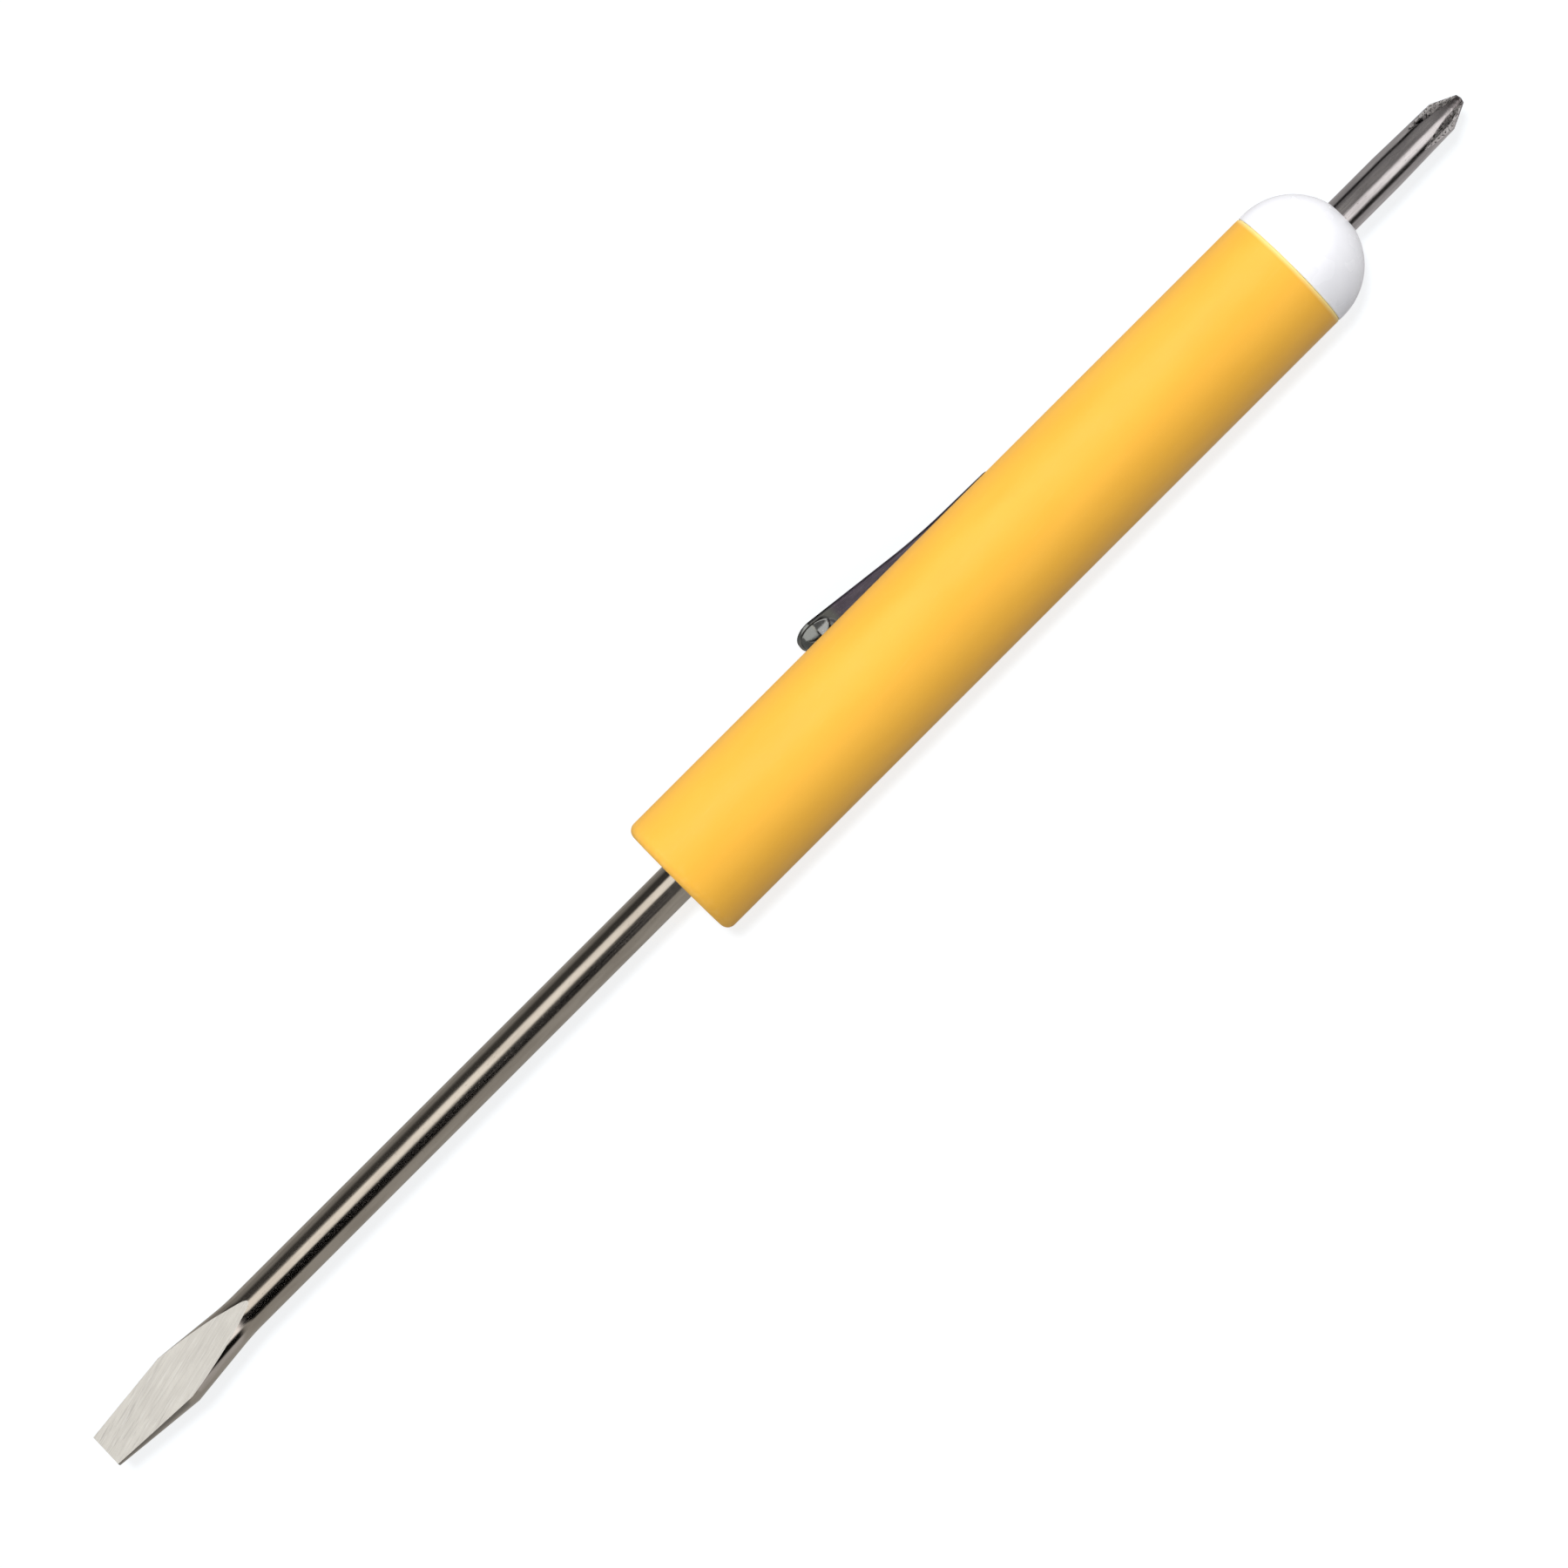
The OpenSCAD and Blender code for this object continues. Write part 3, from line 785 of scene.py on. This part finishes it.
def strip_points(line, ball_lift):
    """Points of the strip's middle sheet, in rows across it, with the ball pressed in"""
    points = []
    for i, (x, r) in enumerate(line):
        before = line[max(i - 1, 0)]
        after = line[min(i + 1, len(line) - 1)]
        way = Vector((after[0] - before[0], after[1] - before[1])).normalized()
        out = Vector((way.y, -way.x))
        half = clip_half_width(x)
        for j in range(CLIP_COLUMNS + 1):
            w = half * (2 * j / CLIP_COLUMNS - 1)
            from_ball = math.hypot((x - BALL_X) / math.cos(CLIP_LIFT), w)
            lift = pressed(from_ball, ball_lift) if x < TANG_X - CLIP_FLAT else 0.0
            px, pr = x + out.x * lift, r + out.y * lift
            points.append(Vector((px, 0, 0)) + pr * CLIP_OUT + w * CLIP_ACROSS)
    return points


def strip_faces(rows):
    """Faces between the rows of the strip's points"""
    row = CLIP_COLUMNS + 1
    starts = [i * row + j for i in range(rows - 1) for j in range(CLIP_COLUMNS)]
    return [(at, at + 1, at + row + 1, at + row) for at in starts]


def weld(mesh):
    """Joins the points that lie on one spot"""
    bmesh.ops.remove_doubles(mesh, verts=mesh.verts, dist=WELD)


def thicken(clip):
    """Gives the strip its thickness and its soft edges"""
    wall = clip.modifiers.new("wall", "SOLIDIFY")
    wall.thickness = CLIP_T
    wall.offset = 0
    wall.use_even_offset = True
    edge = clip.modifiers.new("edge", "BEVEL")
    edge.width = CLIP_EDGE
    edge.segments = 2
    edge.limit_method = "ANGLE"
    edge.angle_limit = CLIP_EDGE_TURN
    settle(clip)


def clip_half_width(x):
    """Half the strip's width at a place along X: widening to the ball, then round"""
    end_r = CLIP_END_W / 2
    if x < BALL_X:
        return math.sqrt(max(end_r ** 2 - (BALL_X - x) ** 2, 0))
    share = min(max((TANG_X - x) / (TANG_X - BALL_X), 0), 1)
    return (CLIP_ROOT_W + (CLIP_END_W - CLIP_ROOT_W) * share) / 2


def pressed(from_ball, ball_lift):
    """Depth of the pressed ball at a distance from its middle, with a fillet round its mouth"""
    sheet_r = BALL_R - CLIP_T / 2
    reach = math.sqrt((sheet_r + BALL_FILLET) ** 2 - (ball_lift + BALL_FILLET) ** 2)
    if from_ball >= reach:
        return 0.0
    if from_ball > reach * sheet_r / (sheet_r + BALL_FILLET):
        return math.sqrt(BALL_FILLET ** 2 - (reach - from_ball) ** 2) - BALL_FILLET
    return ball_lift - math.sqrt(sheet_r ** 2 - from_ball ** 2)


# Stage

# Light table: half its side and its gap below the tool in metres, its glow, and its colours as the camera
# sees it and as it throws light back
TABLE_HALF = 0.8
TABLE_GAP = 0.00002
TABLE_GLOW = 0.76
TABLE_TOP = (0.42, 0.46, 0.5, 1)
TABLE_BOUNCE = (0.8, 0.8, 0.81, 1)

# Walls and light boxes of the studio that show in polished metal. Each goes from one angle to another, in
# degrees from straight up towards +Y, has a soft border as wide as its third value, and a brightness.
BLADE_SIDE = [
    (-200, -52, 12, 0.36),
    (3, 43, 14, 1.15),
    (45, 94, 14, 0.05),
    (92, 200, 24, 0.24),
    (125, 200, 20, 0.14),
]
BLADE_SIDE_TINT = (1.0, 0.955, 0.885, 1)
BIT_SIDE = [
    (-200, -80, 12, 0.5),
    (-48, -2, 12, 1.35),
    (-2, 70, 12, 0.24),
    (90, 200, 14, 0.46),
]
BIT_SIDE_TINT = (1.0, 0.965, 0.965, 1)
# Broad box past the blade's end, which lights its flats
END_BOX = [
    (-200, -52, 14, 0.2),
    (-25, 85, 30, 1.05),
    (100, 200, 24, 0.24),
]
END_BOX_TINT = (1.0, 0.99, 0.965, 1)
# Places along X are shares of a ray's length: where the blade's side goes over into the bit's side, and
# where the box past the end goes over into the blade's side
SIDE_CHANGE = (0.0, 0.06)
END_BOX_CHANGE = (-0.2, -0.13)
# The boxes of the blade's side lean: between two places along X they go round from one angle to another
BOX_LEAN = (-0.08, -0.01, -8, 8)
# Even light from all round, and the backdrop that the camera sees
AROUND = 0.29
BACKDROP = 1.0

# Sun lamps: name, degrees from straight up, degrees round from +X to +Y, strength, softness in degrees, and
# whether it lights the floor too
LAMPS = [
    ("overhead", 10.5, 90, 0.35, 8, True),
    ("key", 47, 90, 0.54, 50, False),
    ("far_fill", 65, 0, 0.36, 50, False),
    ("near_fill", 65, 180, 0.24, 50, False),
]

# Camera: its place and its near and far limits in metres, its turn, and its lens and sensor in millimetres
CAMERA_PLACE = (0.0719, -0.000515, 0.7246)
CAMERA_TURN = math.radians(-44.99)
CAMERA_NEAR = 0.05
CAMERA_FAR = 10
CAMERA_LENS = 220
CAMERA_SENSOR = 36


def mixed(tree, share, first, second):
    """Goes over from one shader to another"""
    return node(tree, "ShaderNodeMixShader", {0: share, 1: first, 2: second}).outputs[0]


def make_floor():
    """Pale light table under the tool"""
    height = cad_box[0].z - TABLE_GAP
    middle = (cad_box[0] + cad_box[1]) / 2
    corners = [
        (middle.x + x * TABLE_HALF, middle.y + y * TABLE_HALF, height)
        for x, y in ((-1, -1), (1, -1), (1, 1), (-1, 1))
    ]
    floor = new_piece("floor", corners, [(0, 1, 2, 3)])
    made = bpy.data.materials.new("light_table")
    made.use_nodes = True
    tree = made.node_tree
    tree.nodes.clear()
    glow = node(tree, "ShaderNodeEmission", {"Color": WHITE, "Strength": TABLE_GLOW}).outputs[0]
    top = node(tree, "ShaderNodeBsdfDiffuse", {"Color": TABLE_TOP}).outputs[0]
    seen = node(tree, "ShaderNodeAddShader", {0: glow, 1: top}).outputs[0]
    bounce = node(tree, "ShaderNodeBsdfDiffuse", {"Color": TABLE_BOUNCE}).outputs[0]
    to_camera = node(tree, "ShaderNodeLightPath").outputs["Is Camera Ray"]
    node(tree, "ShaderNodeOutputMaterial", {"Surface": mixed(tree, to_camera, bounce, seen)})
    floor.data.materials.append(made)
    floor.visible_glossy = False
    return floor


def even_light(tree, tint, strength):
    return node(tree, "ShaderNodeBackground", {"Color": tint, "Strength": strength}).outputs[0]


def light_boxes(tree, tilt, boxes, tint):
    """Light of a row of boxes by the tilt of a ray"""
    total = 0.0
    for start, end, border, level in boxes:
        half = border / 2
        rise = ease(tree, tilt, math.radians(start - half), math.radians(start + half), 0.0, level)
        fall = ease(tree, tilt, math.radians(end - half), math.radians(end + half), 1.0, 0.0)
        total = sums(tree, "ADD", sums(tree, "MULTIPLY", rise, fall), total)
    return even_light(tree, tint, total)


def mirrored_studio(tree):
    """Studio as polished metal shows it, from the box past the blade's end to the bit's side"""
    where = node(tree, "ShaderNodeTexCoord").outputs["Generated"]
    way = node(tree, "ShaderNodeSeparateXYZ", {"Vector": where}).outputs
    tilt = sums(tree, "ARCTAN2", way["Y"], way["Z"])
    start, end, low, high = BOX_LEAN
    lean = ease(tree, way["X"], start, end, math.radians(low), math.radians(high))
    blade_side = light_boxes(tree, sums(tree, "SUBTRACT", tilt, lean), BLADE_SIDE, BLADE_SIDE_TINT)
    bit_side = light_boxes(tree, tilt, BIT_SIDE, BIT_SIDE_TINT)
    end_box = light_boxes(tree, tilt, END_BOX, END_BOX_TINT)
    blade_side = mixed(tree, ease(tree, way["X"], *END_BOX_CHANGE), end_box, blade_side)
    return mixed(tree, ease(tree, way["X"], *SIDE_CHANGE), blade_side, bit_side)


def make_studio():
    """Soft light from all round, with long light boxes that show in the metal"""
    world = bpy.data.worlds.new("studio")
    bpy.context.scene.world = world
    world.use_nodes = True
    tree = world.node_tree
    tree.nodes.clear()
    path = node(tree, "ShaderNodeLightPath").outputs
    around = even_light(tree, WHITE, AROUND)
    light = mixed(tree, path["Is Glossy Ray"], around, mirrored_studio(tree))
    light = mixed(tree, path["Is Camera Ray"], light, even_light(tree, WHITE, BACKDROP))
    node(tree, "ShaderNodeOutputWorld", {"Surface": light})
    view = bpy.context.scene.view_settings
    view.view_transform = "Standard"
    view.look = "None"


def hang_lamps(floor):
    """Lamps over the tool, of which only some light the floor"""
    all_but_floor = bpy.data.collections.new("all_but_floor")
    all_but_floor.objects.link(floor)
    all_but_floor.collection_objects[0].light_linking.link_state = "EXCLUDE"
    for name, lean, turn, strength, softness, floor_too in LAMPS:
        lamp = make_lamp(name, math.radians(lean), math.radians(turn), strength, math.radians(softness))
        if not floor_too:
            lamp.light_linking.receiver_collection = all_but_floor


def make_lamp(name, tilt, turn, strength, softness):
    """Sun lamp that gives a white face turned to it the brightness of its strength"""
    lamp = bpy.data.lights.new(name, "SUN")
    lamp.energy = strength * math.pi
    lamp.angle = softness
    lit = bpy.data.objects.new(name, lamp)
    lit.rotation_euler = Euler((0, tilt, turn))
    lit.visible_glossy = False
    bpy.context.scene.collection.objects.link(lit)
    return lit


def make_camera():
    """Long lens straight above the tool, turned so that the tool runs up to the right"""
    lens = bpy.data.cameras.new("camera")
    lens.sensor_width = CAMERA_SENSOR
    lens.lens = CAMERA_LENS
    lens.clip_start = CAMERA_NEAR
    lens.clip_end = CAMERA_FAR
    camera = bpy.data.objects.new("camera", lens)
    camera.location = CAMERA_PLACE
    camera.rotation_euler = Euler((0, 0, CAMERA_TURN))
    bpy.context.scene.collection.objects.link(camera)
    bpy.context.scene.camera = camera


LATHE = lathe_tree()
make_barrel()
make_blade()
make_cap()
make_bit()
make_clip()
floor = make_floor()
make_studio()
hang_lamps(floor)
make_camera()
